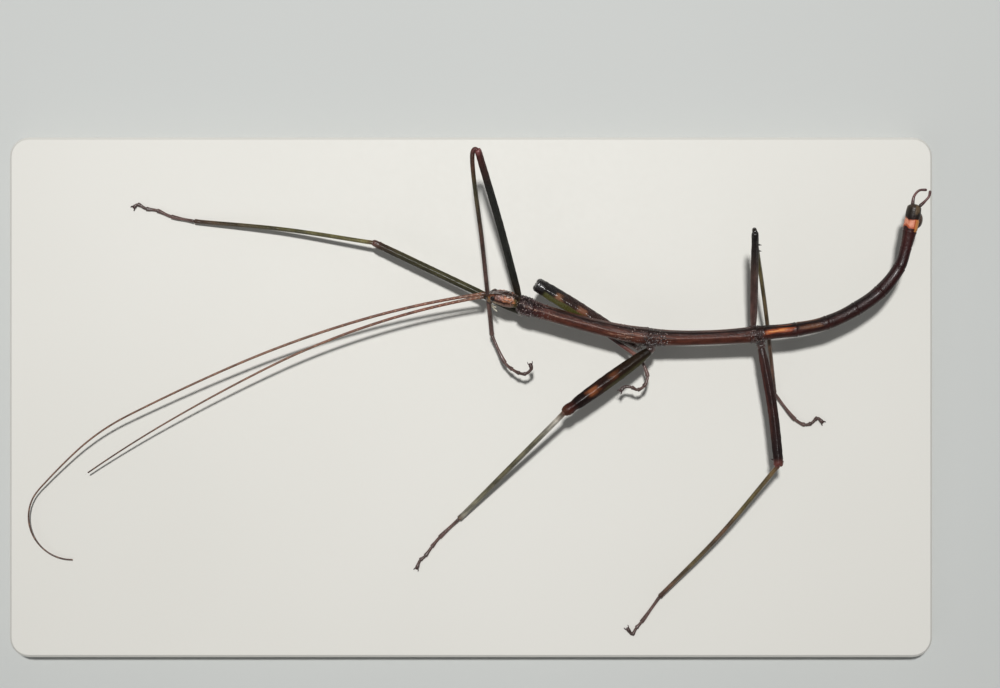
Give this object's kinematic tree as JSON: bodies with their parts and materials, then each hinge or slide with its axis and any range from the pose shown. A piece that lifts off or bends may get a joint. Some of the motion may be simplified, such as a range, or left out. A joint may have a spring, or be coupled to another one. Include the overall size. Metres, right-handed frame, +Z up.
{
  "type": "stick insect",
  "caption": "Life-size still model of a brown stick insect with spread legs and long forward feelers, standing on a plain flat display plate.",
  "frame": {"origin": "centre of the display plate's underside, with the model's lowest point at Z = 0", "axes": "+X from the head towards the tail, along the plate's long side; +Y towards the insect's right side; +Z up"},
  "size_m": [0.142, 0.08, 0.0213],
  "materials": {
    "shell": "glossy brown cuticle with fine pale-tipped grains",
    "abdomen": "glossy dark red-brown cuticle",
    "head": "glossy tan cuticle with dark marbling",
    "eye": "polished near-black lens",
    "limb": "ridged dark brown cuticle",
    "shin": "ridged olive-brown cuticle",
    "foot": "mauve-brown cuticle",
    "feeler": "reddish-brown cuticle with pale joints",
    "plate": "matt off-white paint on board"
  },
  "bodies": {
    "root": {"stand_base": "plate", "head": "head", "prothorax": "shell", "mesothorax": "shell", "metathorax": "shell", "abdomen_1": "abdomen", "abdomen_2": "abdomen", "abdomen_3": "abdomen", "abdomen_4": "abdomen", "abdomen_5": "abdomen", "abdomen_6": "abdomen", "abdomen_7": "abdomen", "abdomen_8": "abdomen", "abdomen_9": "abdomen", "abdomen_10": "abdomen", "eye_left": "eye", "eye_right": "eye", "mouthparts": "head", "poculum": "abdomen", "cercus_left": "abdomen", "cercus_right": "abdomen", "antenna_left_base": "feeler", "antenna_left_1": "feeler", "antenna_left_2": "feeler", "antenna_left_3": "feeler", "antenna_left_4": "feeler", "antenna_right_base": "feeler", "antenna_right_1": "feeler", "antenna_right_2": "feeler", "antenna_right_3": "feeler", "antenna_right_4": "feeler", "antenna_right_5": "feeler", "antenna_right_6": "feeler", "antenna_right_7": "feeler", "front_left_coxa": "limb", "front_left_femur": "limb", "front_left_tibia": "shin", "front_left_tarsus": "foot", "front_right_coxa": "limb", "front_right_femur": "limb", "front_right_tibia": "shin", "front_right_tarsus": "foot", "middle_left_coxa": "limb", "middle_left_femur": "limb", "middle_left_tibia": "shin", "middle_left_tarsus": "foot", "middle_right_coxa": "limb", "middle_right_femur": "limb", "middle_right_tibia": "shin", "middle_right_tarsus": "foot", "hind_left_coxa": "limb", "hind_left_femur": "limb", "hind_left_tibia": "shin", "hind_left_tarsus": "foot", "hind_right_coxa": "limb", "hind_right_femur": "limb", "hind_right_tibia": "shin", "hind_right_tarsus": "foot"}
  },
  "joints": []
}
